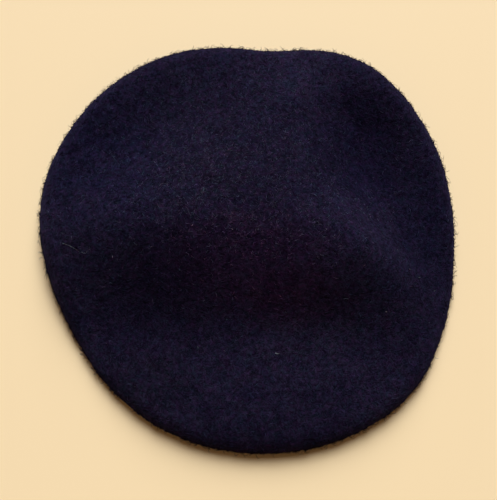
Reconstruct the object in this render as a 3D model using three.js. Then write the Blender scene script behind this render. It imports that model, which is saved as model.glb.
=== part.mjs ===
// A plain felt beret, lying on a table with its head opening down.
// It is one piece: a single wall of felt that runs from the crown over the rim and back under it to
// the opening. Millimetres, +Z up, +Y towards the back, origin on the table under the middle of the hat.
import * as THREE from "three";

// Driving dimensions, in millimetres
const WIDTH = 275; // left to right over the rim
const DEPTH = 273; // front to back over the rim
const FELT = 2.6; // thickness of the felt
const EDGE_HEIGHT = 20; // the crown's height where it reaches the rim
const CROWN_RISE = 12; // how much higher the middle of the crown is, without its folds
const FOLD_LIFT = 10; // the main ridge stands this far over the crown
const ROLL_REACH = 11; // the rim's upper edge rolls over within this distance of the outline
const EDGE_MIDDLE = 8; // height of the widest line of the rim, without the crown's folds
const EDGE_FOLLOW = 0.4; // share of the folds' height at the rim that the widest line takes up
const TURN_UNDER = 7; // the felt turns under within this distance of the outline
const UNDER_LIFT = 2; // height of the underside where that turn begins
const OPENING_WIDTH = 168; // head opening, left to right
const OPENING_DEPTH = 176; // head opening, front to back
const REST_BAND = 14; // width of the flat band round the opening that lies on the table

// Outline of the rim from above. turn is degrees from +X towards +Y, and reach is a share of the
// oval of WIDTH and DEPTH. It bulges at the back right and front right, dips at the back and is
// flattened at the front left.
const RIM = [
  { turn: 0, reach: 0.994 },
  { turn: 30, reach: 1.043 },
  { turn: 56, reach: 1.077 },
  { turn: 66, reach: 1.061 },
  { turn: 75, reach: 1.017 },
  { turn: 85, reach: 0.981 },
  { turn: 97, reach: 1.004 },
  { turn: 115, reach: 1.032 },
  { turn: 155, reach: 1.039 },
  { turn: 172, reach: 1.012 },
  { turn: 190, reach: 0.962 },
  { turn: 210, reach: 0.935 },
  { turn: 240, reach: 0.963 },
  { turn: 280, reach: 1.007 },
  { turn: 316, reach: 1.053 },
  { turn: 340, reach: 1.015 },
];

// Ridges and hollows of the crown. x, y, along and across are shares of half the WIDTH and DEPTH,
// turn is degrees, and lift is a share of FOLD_LIFT.
const FOLDS = [
  { name: "ridge_left", x: -0.46, y: 0.09, along: 0.36, across: 0.24, turn: 12, lift: 0.88 },
  { name: "ridge_end", x: -0.78, y: 0.09, along: 0.24, across: 0.2, turn: 0, lift: 0.4 },
  { name: "ridge_middle", x: 0.02, y: 0.09, along: 0.38, across: 0.28, turn: -2, lift: 0.8 },
  { name: "ridge_right", x: 0.42, y: -0.08, along: 0.36, across: 0.22, turn: -38, lift: 0.95 },
  { name: "ridge_crest", x: 0.61, y: -0.08, along: 0.3, across: 0.1, turn: -47, lift: 0.5 },
  { name: "ridge_knob", x: 0.45, y: 0.02, along: 0.22, across: 0.13, turn: -38, lift: 0.5 },
  { name: "knob_hollow", x: 0.6, y: 0.24, along: 0.28, across: 0.15, turn: -52, lift: -0.45 },
  { name: "front_valley", x: -0.05, y: -0.46, along: 0.9, across: 0.2, turn: 0, lift: -0.8 },
  { name: "left_hollow", x: -0.48, y: -0.33, along: 0.3, across: 0.2, turn: 0, lift: -0.5 },
  { name: "right_hollow", x: 0.45, y: -0.37, along: 0.26, across: 0.16, turn: 0, lift: -0.25 },
  { name: "right_dent", x: 0.67, y: 0.34, along: 0.42, across: 0.25, turn: -68, lift: -1 },
  { name: "right_flank", x: 0.9, y: -0.22, along: 0.32, across: 0.17, turn: -74, lift: -0.6 },
  { name: "right_rim", x: 0.64, y: 0.76, along: 0.26, across: 0.15, turn: -46, lift: 0.9 },
  { name: "back_right_dent", x: 0.52, y: 0.54, along: 0.2, across: 0.13, turn: -50, lift: -0.35 },
  { name: "left_dent", x: -0.58, y: 0.47, along: 0.4, across: 0.2, turn: 38, lift: -0.6 },
  { name: "left_rim", x: -0.6, y: 0.75, along: 0.36, across: 0.16, turn: 40, lift: 0.55 },
  { name: "back_swell", x: -0.1, y: 0.38, along: 0.36, across: 0.26, turn: 0, lift: 0.25 },
  { name: "front_low", x: 0, y: -0.8, along: 1.4, across: 0.55, turn: 0, lift: -0.75 },
];

// Fineness of the mesh
const SPOKES = 72;
const CROWN_RINGS = 17;
const ROLL_RINGS = 5;
const TURN_RINGS = 4;
const RAMP_RINGS = 3;
const HEM_STEPS = 4;

const radians = THREE.MathUtils.degToRad;

// Reach of the rim at a turn, by a smooth closed curve through the rows of RIM
function rimReach(turn) {
  const count = RIM.length;
  const row = (i) => {
    const laps = Math.floor(i / count);
    const { turn: t, reach } = RIM[i - laps * count];
    return { t: t + 360 * laps, reach };
  };
  const slope = (i) => (row(i + 1).reach - row(i - 1).reach) / (row(i + 1).t - row(i - 1).t);
  let i = 0;
  while (row(i + 1).t <= turn) i += 1;
  const span = row(i + 1).t - row(i).t;
  const u = (turn - row(i).t) / span;
  const v = 1 - u;
  return (
    v * v * (1 + 2 * u) * row(i).reach +
    u * v * v * span * slope(i) +
    u * u * (1 + 2 * v) * row(i + 1).reach -
    u * u * v * span * slope(i + 1)
  );
}

// Lift of one ridge or hollow at a place given in shares of half the width and depth
function foldLift(fold, px, py) {
  const c = Math.cos(radians(fold.turn));
  const s = Math.sin(radians(fold.turn));
  const dx = px - fold.x;
  const dy = py - fold.y;
  const u = (dx * c + dy * s) / fold.along;
  const v = (dy * c - dx * s) / fold.across;
  return FOLD_LIFT * fold.lift * Math.exp(-u * u - v * v);
}

// One spoke of the hat, from the middle out to the rim: its direction and the radii along it
function makeSpoke(index) {
  const turn = (360 * index) / SPOKES;
  const reach = rimReach(turn);
  const x = (reach * Math.cos(radians(turn)) * WIDTH) / 2;
  const y = (reach * Math.sin(radians(turn)) * DEPTH) / 2;
  const rim = Math.hypot(x, y);
  const c = x / rim;
  const s = y / rim;
  const opening = 1 / Math.hypot(c / (OPENING_WIDTH / 2), s / (OPENING_DEPTH / 2));
  return { c, s, rim, opening };
}

// Height of the crown on a spoke, before the rim rolls over
function crownHeight({ c, s, rim }, r) {
  const px = (r * c) / (WIDTH / 2);
  const py = (r * s) / (DEPTH / 2);
  const dome = CROWN_RISE * (1 - (r / rim) ** 2);
  return FOLDS.reduce((z, fold) => z + foldLift(fold, px, py), EDGE_HEIGHT + dome);
}

// The outer face of the felt on a spoke, from the crown's first ring to the edge of the opening
function outerProfile(spoke) {
  const { rim, opening } = spoke;
  const points = [];
  const put = (r, z) => points.push(new THREE.Vector3(r * spoke.c, r * spoke.s, z));

  const top = crownHeight(spoke, rim);
  const widest = EDGE_MIDDLE + EDGE_FOLLOW * (top - EDGE_HEIGHT);
  const crownEnd = rim - ROLL_REACH;
  for (let i = 1; i <= CROWN_RINGS; i += 1) {
    const r = (crownEnd * i) / CROWN_RINGS;
    put(r, crownHeight(spoke, r));
  }

  for (let i = 1; i <= ROLL_RINGS; i += 1) {
    const a = (Math.PI / 2) * (i / ROLL_RINGS);
    const r = crownEnd + ROLL_REACH * Math.sin(a);
    put(r, crownHeight(spoke, r) - (top - widest) * (1 - Math.cos(a)));
  }

  const turnEnd = rim - TURN_UNDER;
  for (let i = 1; i <= TURN_RINGS; i += 1) {
    const a = (Math.PI / 2) * (i / TURN_RINGS);
    put(turnEnd + TURN_UNDER * Math.cos(a), widest - (widest - UNDER_LIFT) * Math.sin(a));
  }

  const bandInner = opening + FELT / 2;
  const bandOuter = bandInner + REST_BAND;
  for (let i = 1; i <= RAMP_RINGS; i += 1) {
    const t = 1 - i / RAMP_RINGS;
    put(bandOuter + (turnEnd - bandOuter) * t, UNDER_LIFT * t * t);
  }
  put(bandInner, 0);
  return points;
}

// The round edge of the felt at the head opening
function hemArc(spoke) {
  const half = FELT / 2;
  const points = [];
  for (let i = 1; i < HEM_STEPS; i += 1) {
    const a = Math.PI * (i / HEM_STEPS);
    const r = spoke.opening + half - half * Math.sin(a);
    points.push(new THREE.Vector3(r * spoke.c, r * spoke.s, half - half * Math.cos(a)));
  }
  return points;
}

// The inner face: each outer point moved in by the felt's thickness, square to the outer face
function innerProfile(outer, index, top) {
  const around = (step) => outer[(index + step + SPOKES) % SPOKES];
  return outer[index].map((point, k, profile) => {
    const last = profile.length - 1;
    const before = k > 0 ? profile[k - 1] : top;
    const after = profile[Math.min(k + 1, last)];
    const down = after.clone().sub(before);
    const sideways = around(1)[k].clone().sub(around(-1)[k]);
    const outward = down.cross(sideways).normalize();
    return point.clone().addScaledVector(outward, -FELT);
  });
}

// The whole wall of felt: spokes joined side to side, and closed by a fan at the top of each face
function makeFelt() {
  const spokes = Array.from({ length: SPOKES }, (_, i) => makeSpoke(i));
  const outer = spokes.map(outerProfile);
  const top = new THREE.Vector3(0, 0, crownHeight(spokes[0], 0));
  const innerTop = top.clone();
  innerTop.z -= FELT;
  const profiles = spokes.map((spoke, i) => [
    ...outer[i],
    ...hemArc(spoke),
    ...innerProfile(outer, i, top).reverse(),
  ]);

  const rows = profiles[0].length;
  const points = [...profiles.flat(), top, innerTop];
  const topIndex = SPOKES * rows;
  const faces = [];
  for (let i = 0; i < SPOKES; i += 1) {
    const here = i * rows;
    const next = ((i + 1) % SPOKES) * rows;
    faces.push(topIndex, here, next);
    for (let k = 0; k < rows - 1; k += 1) {
      faces.push(here + k, here + k + 1, next + k + 1);
      faces.push(here + k, next + k + 1, next + k);
    }
    faces.push(topIndex + 1, next + rows - 1, here + rows - 1);
  }

  const geometry = new THREE.BufferGeometry().setFromPoints(points);
  geometry.setIndex(faces);
  geometry.computeBoundingBox();
  const middle = geometry.boundingBox.getCenter(new THREE.Vector3());
  geometry.translate(-middle.x, -middle.y, 0);
  geometry.computeVertexNormals();
  return geometry;
}

const felt = new THREE.MeshStandardMaterial({ color: 0x181422, roughness: 0.95, metalness: 0 });

const body = new THREE.Mesh(makeFelt(), felt);
body.name = "felt_body";

const beret = new THREE.Group();
beret.add(body);

export default beret;
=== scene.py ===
# A plain dark navy felt beret, lying on a pale surface with its head opening down.
# Metres, +Z up, +Y towards the back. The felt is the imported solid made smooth, with its nap as fine
# strands of geometry over it.
import math

import bmesh
import bpy
import numpy as np
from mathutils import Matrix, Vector, noise


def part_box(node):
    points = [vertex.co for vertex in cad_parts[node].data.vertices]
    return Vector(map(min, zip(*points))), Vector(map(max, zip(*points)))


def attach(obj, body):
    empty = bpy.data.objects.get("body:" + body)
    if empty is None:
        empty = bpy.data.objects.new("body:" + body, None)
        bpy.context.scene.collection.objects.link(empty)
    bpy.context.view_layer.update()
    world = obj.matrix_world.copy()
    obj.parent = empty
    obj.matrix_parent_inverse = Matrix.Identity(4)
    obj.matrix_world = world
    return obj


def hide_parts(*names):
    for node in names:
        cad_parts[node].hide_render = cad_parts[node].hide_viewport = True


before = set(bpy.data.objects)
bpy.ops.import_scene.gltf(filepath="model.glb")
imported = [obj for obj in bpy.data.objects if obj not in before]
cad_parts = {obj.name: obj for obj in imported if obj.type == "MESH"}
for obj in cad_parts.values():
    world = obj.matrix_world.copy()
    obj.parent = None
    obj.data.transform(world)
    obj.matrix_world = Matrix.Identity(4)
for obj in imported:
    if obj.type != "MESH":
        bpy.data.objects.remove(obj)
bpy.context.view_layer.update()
LOW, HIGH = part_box("felt_body")
MM = 0.001
HALF_WIDTH = (HIGH.x - LOW.x) / 2
HALF_DEPTH = (HIGH.y - LOW.y) / 2

# The photograph, in pixels: its size, and the left and right ends of the beret's outline in it
PHOTO_WIDE, PHOTO_HIGH = 497, 500
HAT_LEFT, HAT_RIGHT = 39.5, 454.5

# Camera: above the beret and a little towards the front. It looks at a point near the middle of the
# beret, given to the right, up in the picture and above the surface.
CAMERA_ELEVATION = math.radians(80)
CAMERA_DISTANCE = 0.75
SENSOR = 36.0
AIM_RIGHT, AIM_UP, AIM_HEIGHT = 1.0 * MM, -3.2 * MM, 8.0 * MM

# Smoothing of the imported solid: points nearer than WELD are one, triangles are joined in pairs where
# they bend less than the two angles, and each face is then divided this many times.
WELD = 0.01 * MM
JOIN_FACE_ANGLE, JOIN_SHAPE_ANGLE = math.radians(50), math.radians(60)
DIVISIONS = 2
# The hem's faces lie below this height and within this reach, and don't face straight up or down
HEM_HEIGHT, HEM_REACH, HEM_LEVEL = 3.2 * MM, 95 * MM, 0.95
# The faces that meet at the top of the crown are evened out over this reach, a little at each pass
POLE_REACH, POLE_PASSES, POLE_SHARE = 11 * MM, 40, 0.5
# Soft unevenness of the felt: size of the lumps and how far they stand out
LUMPS = [(26 * MM, 0.32 * MM), (9 * MM, 0.12 * MM), (4 * MM, 0.09 * MM)]

# Strands of the nap. Each row is a piece: how many, length and width in mm, the angles in degrees
# at which a strand leaves the felt and ends, how far it may turn on its way, its number of steps and
# the tone of its wool.
NAP = [
    {"name": "nap_low", "count": 8000, "length": (2.5, 5.5), "width": (0.30, 0.60),
     "leaves": (3, 12), "ends": (-14, -5), "turns": 110, "steps": 3, "tone": "dark"},
    {"name": "nap_middle", "count": 11000, "length": (2.5, 6.0), "width": (0.24, 0.50),
     "leaves": (4, 14), "ends": (-16, -5), "turns": 130, "steps": 3, "tone": "middle"},
    {"name": "nap_high", "count": 10000, "length": (2.0, 5.0), "width": (0.12, 0.30),
     "leaves": (6, 18), "ends": (-20, -6), "turns": 100, "steps": 3, "tone": "light"},
    {"name": "stray_hairs", "count": 3500, "length": (2.0, 5.0), "width": (0.05, 0.10),
     "leaves": (25, 80), "ends": (-50, 30), "turns": 110, "steps": 4, "tone": "light"},
    {"name": "rim_fuzz", "count": 9000, "length": (0.7, 2.0), "width": (0.34, 0.62),
     "leaves": (15, 70), "ends": (-30, 30), "turns": 110, "steps": 3, "tone": "middle"},
    {"name": "rim_curls", "count": 1800, "length": (2.2, 6.0), "width": (0.22, 0.38),
     "leaves": (35, 85), "ends": (-60, 10), "turns": 320, "steps": 5, "tone": "middle"},
    {"name": "worn_hairs", "count": 3800, "length": (1.5, 4.2), "width": (0.10, 0.20),
     "leaves": (6, 30), "ends": (-24, 0), "turns": 150, "steps": 4, "tone": "dusty"},
    # Short pale hairs, partly real lint and partly painted glints of fibres
    {"name": "pale_hairs_and_glints", "count": 120, "length": (0.4, 1.8), "width": (0.14, 0.28),
     "leaves": (4, 25), "ends": (-20, 10), "turns": 130, "steps": 3, "tone": "pale_lint_and_glint"},
]
# A strand starts this many mm inside the felt, wavers by this angle in radians at each step, narrows
# to this share of its width before its tip, and stays this far above the surface.
ROOT_DEPTH = 0.12
WAVER = 0.25
TIP_SHARE = 0.55
STRAND_CLEAR = 0.4 * MM
# A direction lies near an axis where its share along that axis is over NEAR_AXIS, and no length is
# taken as less than TINY.
NEAR_AXIS = 0.7
TINY = 1e-12

# Where the nap grows. Felt that faces down has none below BAND_HEIGHT, and felt that faces down more
# than UNDER_FACING has this share.
BAND_HEIGHT = 1.2 * MM
UNDER_FACING, UNDER_SHARE = -0.3, 0.5
# Rim: how fast the fuzz thins out where the felt faces up or down, how much more of it the front has,
# the height where it begins, the size of its tufts, and how full they are and may be
RIM_FADE = 2.5
RIM_FRONT = 0.4
RIM_FOOT = 2 * MM
TUFT = 3 * MM
TUFT_FULL, TUFT_SWING, TUFT_RANGE = 0.4, 2.5, (0.1, 2)
# The worn place on the ridge, and the share of the lightest nap that grows away from it
WORN_PLACE = (-6 * MM, 40 * MM)
WORN_REACH = (70 * MM, 42 * MM)
HIGH_SHARE = 0.5

# Bits of pale lint on the crown, and pale specks painted on it where its fibres glint, a painted highlight:
# where each starts, its length and width in mm, and in degrees the way it heads and how far it turns
LINT_AND_GLINTS = [
    {"name": "left_fibre", "x": -119, "y": -2, "length": 14, "width": 0.13, "heading": -18, "turns": -24},
    {"name": "left_curl", "x": -106, "y": -8, "length": 5, "width": 0.13, "heading": -50, "turns": 150},
    {"name": "back_fibre", "x": -56, "y": 33, "length": 8, "width": 0.13, "heading": 60, "turns": -150},
    {"name": "left_glint", "x": -86, "y": -12, "length": 1.3, "width": 0.40, "heading": 70, "turns": 90},
    {"name": "left_glint_dot", "x": -61, "y": -6, "length": 0.9, "width": 0.36, "heading": 0, "turns": 40},
    {"name": "ridge_glint", "x": -35, "y": 6.5, "length": 1.3, "width": 0.38, "heading": 20, "turns": 90},
    {"name": "ridge_glint_dot", "x": -9, "y": 4, "length": 1.0, "width": 0.38, "heading": 120, "turns": 40},
    {"name": "front_hair", "x": 18, "y": -72, "length": 3.4, "width": 0.24, "heading": -25, "turns": 60},
    {"name": "front_glint", "x": 89, "y": -46, "length": 1.2, "width": 0.36, "heading": 10, "turns": 60},
    {"name": "right_glint", "x": 105, "y": -19, "length": 1.1, "width": 0.34, "heading": 80, "turns": 60},
    {"name": "right_glint_dot", "x": 111, "y": -23, "length": 1.4, "width": 0.36, "heading": -40, "turns": 60},
]
SPECK_STEPS = 8
SPECK_LIFT = 0.35 * MM
# Lint and painted glints are dropped on the felt from this height, in mm
SPECK_DROP = 200

# Colours, linear
TONES = {
    "dark": (0.0075, 0.0056, 0.0146),
    "middle": (0.0118, 0.0095, 0.0238),
    "light": (0.0325, 0.0287, 0.0585),
    "dusty": (0.0920, 0.0890, 0.1320),
    # The pale tone is for lint and for painted glints
    "pale_lint_and_glint": (0.20, 0.19, 0.22),
}
FELT_DARK = (0.0043, 0.0030, 0.0082)
FELT_LIGHT = (0.0148, 0.0119, 0.0297)
SURFACE = (0.925, 0.71, 0.425)

# Each GRAIN below says how many grains of noise there are in a millimetre, and how detailed and how
# rough the noise is.

# A strand's colour runs from one of these shares of its tone to the other, between two values of its
# noise
STRAND_SHARES = ((0.74, 0.58, 0.56), (1.25, 1.42, 1.55))
STRAND_ENDS = (0.35, 0.65)
STRAND_GRAIN = (0.5, 2.0, 0.5)
STRAND_ROUGHNESS, STRAND_SHINE = 0.8, 0.02

# Texture of the felt under the nap: strokes, with their length and breadth in mm and the three ways
# that they lie in degrees, fine grain, and blotches. Each has a share in the colour, which runs from
# dark to light between the two ends. A stroke counts as one unit of its noise.
STROKE = (4.5, 1.1, 1.1)
STROKE_TURNS = (10, 70, 130)
STROKE_GRAIN = (1.0, 2.5, 0.6)
FINE_GRAIN = (1.1, 3.0, 0.7)
BLOTCH_GRAIN = (0.09, 3.0, 0.55)
STROKE_SHARE, FINE_SHARE, BLOTCH_SHARE = 0.9, 0.35, 0.2
FELT_ENDS = (0.69, 0.91)
# Relief of that texture: share of the fine grain in it, its strength and its height
FINE_RELIEF = 0.4
RELIEF_STRENGTH, RELIEF_HEIGHT = 0.8, 0.9 * MM
FELT_ROUGHNESS = 0.95
# Sheen of the felt outside and inside, and its own roughness and tint
SHEEN_OUTSIDE, SHEEN_INSIDE = 0.25, 0.05
SHEEN_ROUGHNESS = 0.5
SHEEN_TINT = (0.12, 0.10, 0.24)
# All patterns are bent by up to about this many mm
BEND = 5.0
BEND_GRAIN = (0.22, 2.0, 0.5)

# Patches laid over the colour, mostly painted light and shade: painted shade where slopes, dents, the
# valley and the front rim roll turn from the light, a redder painted shade tint in the valley, and painted
# light on the ridge, the back, the apron and the rims. A few only make the felt darker. Middle and reach in
# mm, and the shares of the colour there.
# A patch is full up to PATCH_CORE of its reach.
PATCH_CORE = 0.2
SHADE_AND_LIGHT_PATCHES = [
    # Redder painted shade in the shaded valley and on the front, and painted light on the front edge that
    # faces away from the light
    {"name": "painted_shade_valley", "middle": (2, -14), "reach": (82, 48), "tint": (1.25, 0.81, 0.92)},
    {"name": "painted_shade_front", "middle": (32, -40), "reach": (56, 26), "tint": (1.14, 0.84, 0.88)},
    {"name": "painted_light_front_edge", "middle": (12, -144), "reach": (90, 18), "tint": (1.46, 1.04, 1.22)},
    # Painted light: paler on the back slope, the back rim, the ridge, its slope and the apron
    {"name": "painted_light_back", "middle": (-34, 60), "reach": (58, 70), "tint": (1.03, 1.02, 0.99)},
    {"name": "painted_light_back_rim", "middle": (30, 114), "reach": (52, 30), "tint": (1.38, 1.42, 1.34)},
    {"name": "painted_light_ridge", "middle": (66, 22), "reach": (34, 25), "tint": (1.10, 1.10, 1.08)},
    {"name": "painted_light_slope", "middle": (54, -8), "reach": (30, 24), "tint": (1.20, 1.20, 1.18)},
    {"name": "painted_light_apron", "middle": (34, -66), "reach": (48, 36), "tint": (1.14, 1.15, 1.08)},
    # Painted shade at the left back, the back, the back right corner and the right side; darker and less
    # blue at the front left
    {"name": "painted_shade_left_back", "middle": (-94, 62), "reach": (66, 66), "tint": (0.84, 0.90, 1.01)},
    {"name": "painted_shade_back", "middle": (-52, 104), "reach": (32, 28), "tint": (0.92, 0.94, 0.93)},
    {"name": "painted_shade_corner", "middle": (66, 100), "reach": (30, 26), "tint": (0.93, 0.92, 0.95)},
    {"name": "painted_shade_right_side", "middle": (76, 56), "reach": (42, 62), "tint": (0.71, 0.69, 0.82)},
    {"name": "darker_front_left", "middle": (-58, -88), "reach": (46, 28), "tint": (0.86, 0.88, 0.80)},
    # Painted shade in the left valley, on the right flank, at the front right, in the dent at the back
    # right and on the front rim roll; darker in the middle behind the ridge
    {"name": "painted_shade_slope", "middle": (-50, -8), "reach": (48, 34), "tint": (0.84, 0.80, 0.86)},
    {"name": "painted_shade_flank", "middle": (116, 12), "reach": (32, 64), "tint": (0.67, 0.71, 0.78)},
    {"name": "painted_shade_left", "middle": (-62, -46), "reach": (60, 44), "tint": (0.79, 0.76, 0.80)},
    {"name": "painted_shade_front_right", "middle": (98, -66), "reach": (40, 32), "tint": (0.93, 0.93, 0.94)},
    {"name": "painted_shade_dent", "middle": (58, 54), "reach": (30, 26), "tint": (0.86, 0.86, 0.86)},
    {"name": "dark_middle", "middle": (10, 38), "reach": (46, 34), "tint": (0.83, 0.81, 0.84)},
    {"name": "painted_shade_rim", "middle": (14, -130), "reach": (80, 12), "tint": (0.87, 0.80, 0.83)},
    # Painted light on the rims at the left, front left and front right, where they turn from the light
    {"name": "painted_light_left_rim", "middle": (-130, -8), "reach": (18, 52), "tint": (1.24, 1.24, 1.22)},
    {"name": "painted_light_front_rim", "middle": (-62, -118), "reach": (38, 22), "tint": (1.18, 1.18, 1.16)},
    {"name": "painted_light_right_rim", "middle": (94, -104), "reach": (42, 38), "tint": (1.24, 1.24, 1.20)},
]

# Mottling of the dye: how many mottles in a millimetre, and the shares of the colour at its two ends,
# which it reaches at two values of its noise
MOTTLE_ENDS = (0.34, 0.66)
MOTTLE_DETAIL, MOTTLE_ROUGHNESS = 4.0, 0.65
MOTTLES = [
    {"name": "hue", "scale": 0.11, "low": (0.86, 0.92, 1.02), "high": (1.13, 1.05, 1.01)},
    {"name": "depth", "scale": 0.32, "low": (0.64, 0.63, 0.64), "high": (1.36, 1.37, 1.36)},
    {"name": "fibre_hue", "scale": 0.36, "low": (0.74, 1.19, 0.93), "high": (1.26, 0.82, 1.07)},
]

# The surface: its side in metres, and a hair's breadth between it and the flat band of felt
SURFACE_SIZE = 12
SURFACE_CLEAR = 0.1 * MM
SURFACE_ROUGHNESS = 0.6
# Its tone wavers down to this share. Its noise counts by the metre.
SURFACE_SHARE = 0.98
SURFACE_GRAIN = (2.0, 1.0, 0.5)

# Light: a tall one at the back, as a row of lamps one over another, and a weak warm fill all round
KEY_TURN = math.radians(6)
KEY_HEIGHTS = (30, 42, 54)
KEY_ANGLE = math.radians(36)
KEY_STRENGTH = 1.52
KEY_COLOUR = (0.905, 0.955, 1.0)
FILL_COLOUR = (1.0, 0.65, 0.36)
FILL_STRENGTH = 0.14


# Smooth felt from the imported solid

def mark_inside(bm):
    """Gives the felt's inner face material 1. The round hem stops the search that starts at the crown."""
    def is_hem(face):
        middle = face.calc_center_median()
        near = middle.z < HEM_HEIGHT and math.hypot(middle.x, middle.y) < HEM_REACH
        return near and abs(face.normal.z) < HEM_LEVEL

    hem = {f for f in bm.faces if is_hem(f)}
    start = max(bm.faces, key=lambda f: f.calc_center_median().z)
    outside, waiting = {start}, [start]
    while waiting:
        face = waiting.pop()
        for edge in face.edges:
            for other in edge.link_faces:
                if other not in outside and other not in hem:
                    outside.add(other)
                    waiting.append(other)
    for face in bm.faces:
        face.material_index = 0 if face in outside or face in hem else 1
        face.smooth = True


def smooth_copy(node):
    """The faceted solid as a subdivided mesh, with the star of faces at the top of the crown evened out."""
    bm = bmesh.new()
    bm.from_mesh(node.data)
    bmesh.ops.remove_doubles(bm, verts=bm.verts, dist=WELD)
    bm.normal_update()
    mark_inside(bm)
    bmesh.ops.join_triangles(
        bm, faces=bm.faces, cmp_materials=True,
        angle_face_threshold=JOIN_FACE_ANGLE, angle_shape_threshold=JOIN_SHAPE_ANGLE,
    )
    cage = bpy.data.meshes.new("felt_cage")
    bm.to_mesh(cage)
    bm.free()
    holder = bpy.data.objects.new("felt_cage", cage)
    bpy.context.scene.collection.objects.link(holder)
    subdivide = holder.modifiers.new("smooth", "SUBSURF")
    subdivide.levels = subdivide.render_levels = DIVISIONS
    depsgraph = bpy.context.evaluated_depsgraph_get()
    mesh = bpy.data.meshes.new_from_object(holder.evaluated_get(depsgraph))
    bpy.data.objects.remove(holder)

    bm = bmesh.new()
    bm.from_mesh(mesh)
    pole = [v for v in bm.verts if math.hypot(v.co.x, v.co.y) < POLE_REACH]
    every_way = {"use_axis_x": True, "use_axis_y": True, "use_axis_z": True}
    for _ in range(POLE_PASSES):
        bmesh.ops.smooth_vert(bm, verts=pole, factor=POLE_SHARE, **every_way)
    bm.to_mesh(mesh)
    bm.free()
    return mesh


def read(items, key, width, kind=np.float32):
    """One property of all the items as an array, with a row of width numbers for each."""
    values = np.empty(len(items) * width, kind)
    items.foreach_get(key, values)
    return values.reshape(-1, width) if width > 1 else values


def add_lumps(mesh):
    """Moves each point a little along its normal, and lets none sink below the flat band."""
    places = read(mesh.vertices, "co", 3)
    normals = read(mesh.vertices, "normal", 3)
    for size, height in LUMPS:
        lift = np.array([noise.noise(Vector(p) / size) for p in places])
        places += normals * (lift * height)[:, None]
    places[:, 2] = np.maximum(places[:, 2], 0)
    mesh.vertices.foreach_set("co", places.ravel())
    mesh.update()


def make_felt(node, materials):
    """The smooth felt, with one material for its outer face and one for its inner face."""
    mesh = smooth_copy(node)
    add_lumps(mesh)
    mesh.name = "beret_felt"
    mesh.materials.clear()
    for material in materials:
        mesh.materials.append(material)
    felt = bpy.data.objects.new("beret_felt", mesh)
    bpy.context.scene.collection.objects.link(felt)
    return felt


# Strands

def unit(vectors):
    """The vectors at length 1."""
    return vectors / np.maximum(np.linalg.norm(vectors, axis=-1, keepdims=True), TINY)


class Skin:
    """The outer face of the felt as triangles, to place strands on."""

    def __init__(self, mesh):
        mesh.calc_loop_triangles()
        outer = read(mesh.polygons, "material_index", 1, np.int32) == 0
        corners = read(mesh.loop_triangles, "vertices", 3, np.int32)
        owner = read(mesh.loop_triangles, "polygon_index", 1, np.int32)
        corners = corners[outer[owner]]
        self.points = read(mesh.vertices, "co", 3)[corners]
        self.normals = read(mesh.vertices, "normal", 3)[corners]
        a, b, c = self.points.transpose(1, 0, 2)
        self.area = np.linalg.norm(np.cross(b - a, c - a), axis=1) / 2
        self.middle = self.points.mean(1)
        self.facing = unit(self.normals.mean(1))

    def scatter(self, count, weight, rng):
        """Random points on the skin and the normals there, more of them where weight is larger."""
        share = self.area * weight(self.middle, self.facing)
        chosen = rng.choice(len(share), count, p=share / share.sum())
        u, v = rng.random((2, count))
        over = u + v > 1
        u, v = np.where(over, 1 - u, u), np.where(over, 1 - v, v)
        mix = np.stack([1 - u - v, u, v], 1)[:, :, None]
        return (self.points[chosen] * mix).sum(1), unit((self.normals[chosen] * mix).sum(1))


def strand_paths(roots, normals, row, rng):
    """Points along each strand: it leaves the felt at one angle, ends at another and turns on the way."""
    count, steps = len(roots), row["steps"]
    near_x = abs(normals[:, :1]) > NEAR_AXIS
    along = unit(np.cross(normals, np.where(near_x, (0, 1, 0), (1, 0, 0))))
    across = np.cross(normals, along)
    length = rng.uniform(*row["length"], count) * MM
    heading = rng.uniform(0, 2 * math.pi, count)
    turn = rng.normal(0, math.radians(row["turns"]) / 2, count)
    leave = np.radians(rng.uniform(*row["leaves"], count))
    end = np.radians(rng.uniform(*row["ends"], count))
    waver = rng.normal(0, WAVER, (count, steps))
    path = [roots - normals * ROOT_DEPTH * MM]
    for step in range(steps):
        t = (step + 0.5) / steps
        way = heading + turn * t + waver[:, step]
        rise = leave + (end - leave) * t
        flat = along * np.cos(way)[:, None] + across * np.sin(way)[:, None]
        direction = flat * np.cos(rise)[:, None] + normals * np.sin(rise)[:, None]
        path.append(path[-1] + direction * (length / steps)[:, None])
    paths = np.stack(path, 1)
    paths[:, :, 2] = np.maximum(paths[:, :, 2], STRAND_CLEAR)
    return paths


def strand_mesh(name, paths, normals, width):
    """One closed three-sided body for each path, tapering to a point."""
    count, rings = paths.shape[0], paths.shape[1] - 1
    forward = unit(np.gradient(paths, axis=1))[:, :rings]
    side = unit(np.cross(forward, normals[:, None]))
    up = np.cross(side, forward)
    taper = np.linspace(1, TIP_SHARE, rings)
    radius = (width / 2)[:, None] * taper
    corners = [
        paths[:, :rings] + (side * math.cos(a) + up * math.sin(a)) * radius[:, :, None]
        for a in (math.radians(90 + 120 * k) for k in range(3))
    ]
    body = np.stack(corners, 2).reshape(count, rings * 3, 3)
    points = np.concatenate([body, paths[:, rings:]], 1)
    faces = [(0, 1, 2)]
    for ring in range(rings - 1):
        for k in range(3):
            a, b = ring * 3 + k, ring * 3 + (k + 1) % 3
            faces += [(a, a + 3, b + 3), (a, b + 3, b)]
    last = (rings - 1) * 3
    faces += [(last + k, rings * 3, last + (k + 1) % 3) for k in range(3)]
    each = points.shape[1]
    triangles = np.array(faces)[None] + (np.arange(count) * each)[:, None, None]
    return mesh_from(name, points.reshape(-1, 3), triangles.reshape(-1, 3))


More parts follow.
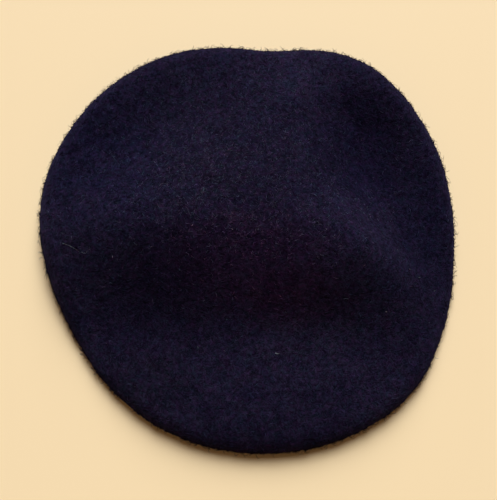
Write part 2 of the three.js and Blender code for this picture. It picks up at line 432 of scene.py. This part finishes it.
def mesh_from(name, points, triangles):
    """A mesh of these points and triangles, shaded smooth."""
    mesh = bpy.data.meshes.new(name)
    mesh.vertices.add(len(points))
    mesh.vertices.foreach_set("co", points.astype(np.float32).ravel())
    mesh.loops.add(triangles.size)
    mesh.loops.foreach_set("vertex_index", triangles.astype(np.int32).ravel())
    mesh.polygons.add(len(triangles))
    mesh.polygons.foreach_set("loop_start", np.arange(0, triangles.size, 3, dtype=np.int32))
    mesh.polygons.foreach_set("use_smooth", np.ones(len(triangles), bool))
    mesh.update(calc_edges=True)
    return mesh


def crown_weight(middle, facing):
    """Nap grows all over the felt but not on the flat band that lies on the table."""
    band = (middle[:, 2] < BAND_HEIGHT) & (facing[:, 2] < 0)
    under = np.where(facing[:, 2] < UNDER_FACING, UNDER_SHARE, 1.0)
    return np.where(band, 0.0, under)


def rim_weight(middle, facing):
    """Fuzz grows in tufts where the rim shows as an outline from above, more of it at the front."""
    edge = np.clip(1 - abs(facing[:, 2]) * RIM_FADE, 0, 1)
    front = 1 + RIM_FRONT * np.clip(-middle[:, 1] / HALF_DEPTH, 0, 1)
    swing = np.array([noise.noise(Vector(p) / TUFT) for p in middle])
    tufts = np.clip(TUFT_FULL + TUFT_SWING * swing, *TUFT_RANGE)
    return edge * front * tufts * (middle[:, 2] > RIM_FOOT)


def worn_weight(middle, facing):
    """Loose fibres stand out where the ridge is worn."""
    away = (middle[:, :2] - WORN_PLACE) / WORN_REACH
    return np.exp(-(away ** 2).sum(1)) * (facing[:, 2] > 0)


def high_weight(middle, facing):
    """The lightest nap shows most round the worn place."""
    return crown_weight(middle, facing) * (HIGH_SHARE + worn_weight(middle, facing))


# How densely a piece of the nap grows. The pieces that aren't named here follow crown_weight.
WEIGHTS = {
    "nap_high": high_weight,
    "stray_hairs": high_weight,
    "rim_fuzz": rim_weight,
    "rim_curls": rim_weight,
    "worn_hairs": worn_weight,
}


def make_nap(skin, row, seed, material):
    """One piece of the nap, from its row in NAP."""
    rng = np.random.default_rng(seed)
    count = int(row["count"] * (1))
    weight = WEIGHTS.get(row["name"], crown_weight)
    roots, normals = skin.scatter(count, weight, rng)
    paths = strand_paths(roots, normals, row, rng)
    width = rng.uniform(*row["width"], count) * MM
    mesh = strand_mesh(row["name"], paths, normals, width)
    mesh.materials.append(material)
    piece = bpy.data.objects.new(row["name"], mesh)
    bpy.context.scene.collection.objects.link(piece)
    return piece


def speck_path(felt, row):
    """Points of one pale speck, laid on the crown from where it starts and turning on its way."""
    x, y = row["x"], row["y"]
    stride = row["length"] / SPECK_STEPS
    points = []
    for step in range(SPECK_STEPS + 1):
        _, place, normal, _ = felt.ray_cast(Vector((x, y, SPECK_DROP)) * MM, Vector((0, 0, -1)))
        points.append(place + normal * SPECK_LIFT)
        way = math.radians(row["heading"] + row["turns"] * step / SPECK_STEPS)
        x += math.cos(way) * stride
        y += math.sin(way) * stride
    return points


def make_lint_and_glints(felt, material):
    """All the bits of lint and the painted glints as one piece."""
    bpy.context.view_layer.update()
    paths = np.array([speck_path(felt, row) for row in LINT_AND_GLINTS])
    upright = np.tile((0.0, 0.0, 1.0), (len(LINT_AND_GLINTS), 1))
    width = np.array([row["width"] for row in LINT_AND_GLINTS]) * MM
    mesh = strand_mesh("lint_and_glints", paths, upright, width)
    mesh.materials.append(material)
    piece = bpy.data.objects.new("lint_and_glints", mesh)
    bpy.context.scene.collection.objects.link(piece)
    return piece


# Materials

def add(tree, kind, **settings):
    """A node, with its own properties by name, and its inputs where no property has that name."""
    made = tree.nodes.new(kind)
    for key, value in settings.items():
        if hasattr(made, key):
            setattr(made, key, value)
        elif isinstance(value, bpy.types.NodeSocket):
            tree.links.new(value, made.inputs[key.replace("_", " ")])
        else:
            made.inputs[key.replace("_", " ")].default_value = value
    return made


def math_node(tree, operation, a, b):
    """The result of an operation on two values, each of them a number or a node's output."""
    made = add(tree, "ShaderNodeMath", operation=operation)
    for socket, value in zip(made.inputs, (a, b)):
        if isinstance(value, bpy.types.NodeSocket):
            tree.links.new(value, socket)
        else:
            socket.default_value = value
    return made.outputs[0]


def new_material(name):
    """A material, its node tree and its shader."""
    material = bpy.data.materials.new(name)
    material.use_nodes = True
    return material, material.node_tree, material.node_tree.nodes["Principled BSDF"]


def noise_node(tree, place, scale, detail, roughness):
    """A noise texture with scale grains in one unit of the place."""
    return add(tree, "ShaderNodeTexNoise", Vector=place, Scale=scale, Detail=detail, Roughness=roughness)


def grain(tree, place, scale, detail, roughness):
    """Such noise as one value from 0 to 1."""
    return noise_node(tree, place, scale, detail, roughness).outputs["Fac"]


def millimetres(tree):
    """Object coordinates in millimetres, bent a little so that no pattern runs straight."""
    place = add(tree, "ShaderNodeTexCoord").outputs["Object"]
    scaled = add(tree, "ShaderNodeVectorMath", operation="SCALE", Scale=1 / MM)
    tree.links.new(place, scaled.inputs[0])
    bend = noise_node(tree, scaled.outputs[0], *BEND_GRAIN)
    offset = add(tree, "ShaderNodeVectorMath", operation="MULTIPLY_ADD")
    tree.links.new(bend.outputs["Color"], offset.inputs[0])
    offset.inputs[1].default_value = (BEND, BEND, BEND)
    tree.links.new(scaled.outputs[0], offset.inputs[2])
    return offset.outputs[0]


def fibre_pattern(tree, place):
    """Short strokes that lie in many directions, from stretched noise turned three ways."""
    strokes = None
    for turn in STROKE_TURNS:
        turned = add(tree, "ShaderNodeMapping", vector_type="TEXTURE", Vector=place)
        turned.inputs["Rotation"].default_value = (0, 0, math.radians(turn))
        turned.inputs["Scale"].default_value = STROKE
        value = grain(tree, turned.outputs[0], *STROKE_GRAIN)
        strokes = value if strokes is None else math_node(tree, "MAXIMUM", strokes, value)
    return strokes


def patch_mask(tree, patch):
    """1 in the middle of the patch, fading to 0 at its reach."""
    place = add(tree, "ShaderNodeTexCoord").outputs["Object"]
    shifted = add(tree, "ShaderNodeVectorMath", operation="SUBTRACT")
    tree.links.new(place, shifted.inputs[0])
    shifted.inputs[1].default_value = (*(v * MM for v in patch["middle"]), 0)
    scaled = add(tree, "ShaderNodeVectorMath", operation="DIVIDE")
    tree.links.new(shifted.outputs[0], scaled.inputs[0])
    scaled.inputs[1].default_value = (*(v * MM for v in patch["reach"]), 1)
    away = add(tree, "ShaderNodeVectorMath", operation="LENGTH")
    tree.links.new(scaled.outputs[0], away.inputs[0])
    fade = add(
        tree, "ShaderNodeMapRange", interpolation_type="SMOOTHSTEP", Value=away.outputs["Value"],
        From_Min=PATCH_CORE, From_Max=1.0, To_Min=1.0, To_Max=0.0,
    )
    return fade.outputs["Result"]


def mix_colours(tree, kind, share, a, b):
    """Two colours mixed, or one multiplied by the other, by the share."""
    made = add(tree, "ShaderNodeMixRGB", blend_type=kind, Fac=share, Color1=a, Color2=b)
    return made.outputs["Color"]


def painted_light_and_mottle(tree, place, colour):
    """The colour, with the patches of painted light and shade and the mottling of the dye laid over it."""
    for patch in SHADE_AND_LIGHT_PATCHES:
        colour = mix_colours(tree, "MULTIPLY", patch_mask(tree, patch), colour, (*patch["tint"], 1))
    first, last = MOTTLE_ENDS
    for mottle in MOTTLES:
        value = grain(tree, place, mottle["scale"], MOTTLE_DETAIL, MOTTLE_ROUGHNESS)
        share = add(tree, "ShaderNodeMapRange", Value=value, From_Min=first, From_Max=last)
        low, high = (*mottle["low"], 1), (*mottle["high"], 1)
        shade = mix_colours(tree, "MIX", share.outputs["Result"], low, high)
        colour = mix_colours(tree, "MULTIPLY", 1.0, colour, shade)
    return colour


def ramp_between(tree, value, ends, colours):
    """A colour that runs from the first to the second while the value runs between the ends."""
    ramp = add(tree, "ShaderNodeValToRGB", Fac=value)
    for element, position, colour in zip(ramp.color_ramp.elements, ends, colours):
        element.position = position
        element.color = (*colour, 1)
    return ramp.outputs["Color"]


def felt_material(name, sheen):
    """Matted felt: strokes of darker and lighter wool with fine grain and blotches, and low relief."""
    material, tree, shader = new_material(name)
    place = millimetres(tree)
    strokes = fibre_pattern(tree, place)
    fine = grain(tree, place, *FINE_GRAIN)
    blotch = grain(tree, place, *BLOTCH_GRAIN)
    mixed = math_node(tree, "MULTIPLY", strokes, STROKE_SHARE)
    for value, share in ((fine, FINE_SHARE), (blotch, BLOTCH_SHARE)):
        mixed = math_node(tree, "ADD", mixed, math_node(tree, "MULTIPLY", value, share))
    colour = ramp_between(tree, mixed, FELT_ENDS, (FELT_DARK, FELT_LIGHT))
    # The patches of painted light and shade and the mottling of the dye go over the felt's colour
    tree.links.new(painted_light_and_mottle(tree, place, colour), shader.inputs["Base Color"])
    height = math_node(tree, "ADD", strokes, math_node(tree, "MULTIPLY", fine, FINE_RELIEF))
    bump = add(tree, "ShaderNodeBump", Strength=RELIEF_STRENGTH, Distance=RELIEF_HEIGHT, Height=height)
    tree.links.new(bump.outputs["Normal"], shader.inputs["Normal"])
    shader.inputs["Roughness"].default_value = FELT_ROUGHNESS
    shader.inputs["Specular IOR Level"].default_value = 0.0
    shader.inputs["Sheen Weight"].default_value = sheen
    shader.inputs["Sheen Roughness"].default_value = SHEEN_ROUGHNESS
    shader.inputs["Sheen Tint"].default_value = (*SHEEN_TINT, 1)
    return material


def strand_material(name, colour):
    """Dyed wool that varies from strand to strand, from darker and redder to lighter and bluer."""
    material, tree, shader = new_material(name)
    place = millimetres(tree)
    tone = grain(tree, place, *STRAND_GRAIN)
    tones = [[c * share for c, share in zip(colour, shares)] for shares in STRAND_SHARES]
    varied = ramp_between(tree, tone, STRAND_ENDS, tones)
    # The patches of painted light and shade and the mottling of the dye go over the strands' colour
    tree.links.new(painted_light_and_mottle(tree, place, varied), shader.inputs["Base Color"])
    shader.inputs["Roughness"].default_value = STRAND_ROUGHNESS
    shader.inputs["Specular IOR Level"].default_value = STRAND_SHINE
    return material


def surface_material():
    """A plain pale surface, its tone barely uneven."""
    material, tree, shader = new_material("pale_surface")
    place = add(tree, "ShaderNodeTexCoord").outputs["Object"]
    tone = grain(tree, place, *SURFACE_GRAIN)
    darker = [c * SURFACE_SHARE for c in SURFACE]
    colour = ramp_between(tree, tone, (0, 1), (darker, SURFACE))
    tree.links.new(colour, shader.inputs["Base Color"])
    shader.inputs["Roughness"].default_value = SURFACE_ROUGHNESS
    return material


# Stage, light and camera

def make_surface():
    """The surface that the beret lies on, which is no part of it."""
    bpy.ops.mesh.primitive_plane_add(size=SURFACE_SIZE, location=(0, 0, -SURFACE_CLEAR))
    floor = bpy.context.object
    floor.name = "surface"
    floor.data.materials.append(surface_material())


def make_lights():
    """The tall light at the back and the fill all round."""
    for height in KEY_HEIGHTS:
        up = math.radians(height)
        flat = math.cos(up)
        towards = Vector((math.sin(KEY_TURN) * flat, math.cos(KEY_TURN) * flat, math.sin(up)))
        data = bpy.data.lights.new("key", "SUN")
        data.angle = KEY_ANGLE
        data.energy = KEY_STRENGTH
        data.color = KEY_COLOUR
        key = bpy.data.objects.new("key", data)
        key.rotation_mode = "QUATERNION"
        key.rotation_quaternion = towards.to_track_quat("Z", "Y")
        bpy.context.scene.collection.objects.link(key)

    world = bpy.data.worlds.new("fill")
    world.use_nodes = True
    background = world.node_tree.nodes["Background"]
    background.inputs["Color"].default_value = (*FILL_COLOUR, 1)
    background.inputs["Strength"].default_value = FILL_STRENGTH
    bpy.context.scene.world = world
    bpy.context.scene.view_settings.view_transform = "Standard"


def make_camera():
    """Frames the beret's outline as the photograph does, by its width and its place in the picture."""
    data = bpy.data.cameras.new("camera")
    data.sensor_width = SENSOR
    share = (HAT_RIGHT - HAT_LEFT) / max(PHOTO_WIDE, PHOTO_HIGH)
    data.lens = SENSOR * share * CAMERA_DISTANCE / (2 * HALF_WIDTH)
    camera = bpy.data.objects.new("camera", data)
    back = Vector((0, -math.cos(CAMERA_ELEVATION), math.sin(CAMERA_ELEVATION)))
    up = Vector((0, math.sin(CAMERA_ELEVATION), math.cos(CAMERA_ELEVATION)))
    aim = Vector((AIM_RIGHT, 0, AIM_HEIGHT)) + up * AIM_UP
    camera.location = aim + back * CAMERA_DISTANCE
    camera.rotation_mode = "QUATERNION"
    camera.rotation_quaternion = back.to_track_quat("Z", "Y")
    bpy.context.scene.collection.objects.link(camera)
    bpy.context.scene.camera = camera


make_camera()
make_lights()
make_surface()

outside = felt_material("felt_outside", SHEEN_OUTSIDE)
inside = felt_material("felt_inside", SHEEN_INSIDE)
felt = make_felt(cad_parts["felt_body"], [outside, inside])
pieces = [felt]

skin = Skin(felt.data)
wool = {tone: strand_material("wool_" + tone, colour) for tone, colour in TONES.items()}
for seed, row in enumerate(NAP):
    pieces.append(make_nap(skin, row, seed + 1, wool[row["tone"]]))
pieces.append(make_lint_and_glints(felt, wool["pale_lint_and_glint"]))

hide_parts("felt_body")
for piece in pieces:
    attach(piece, "root")
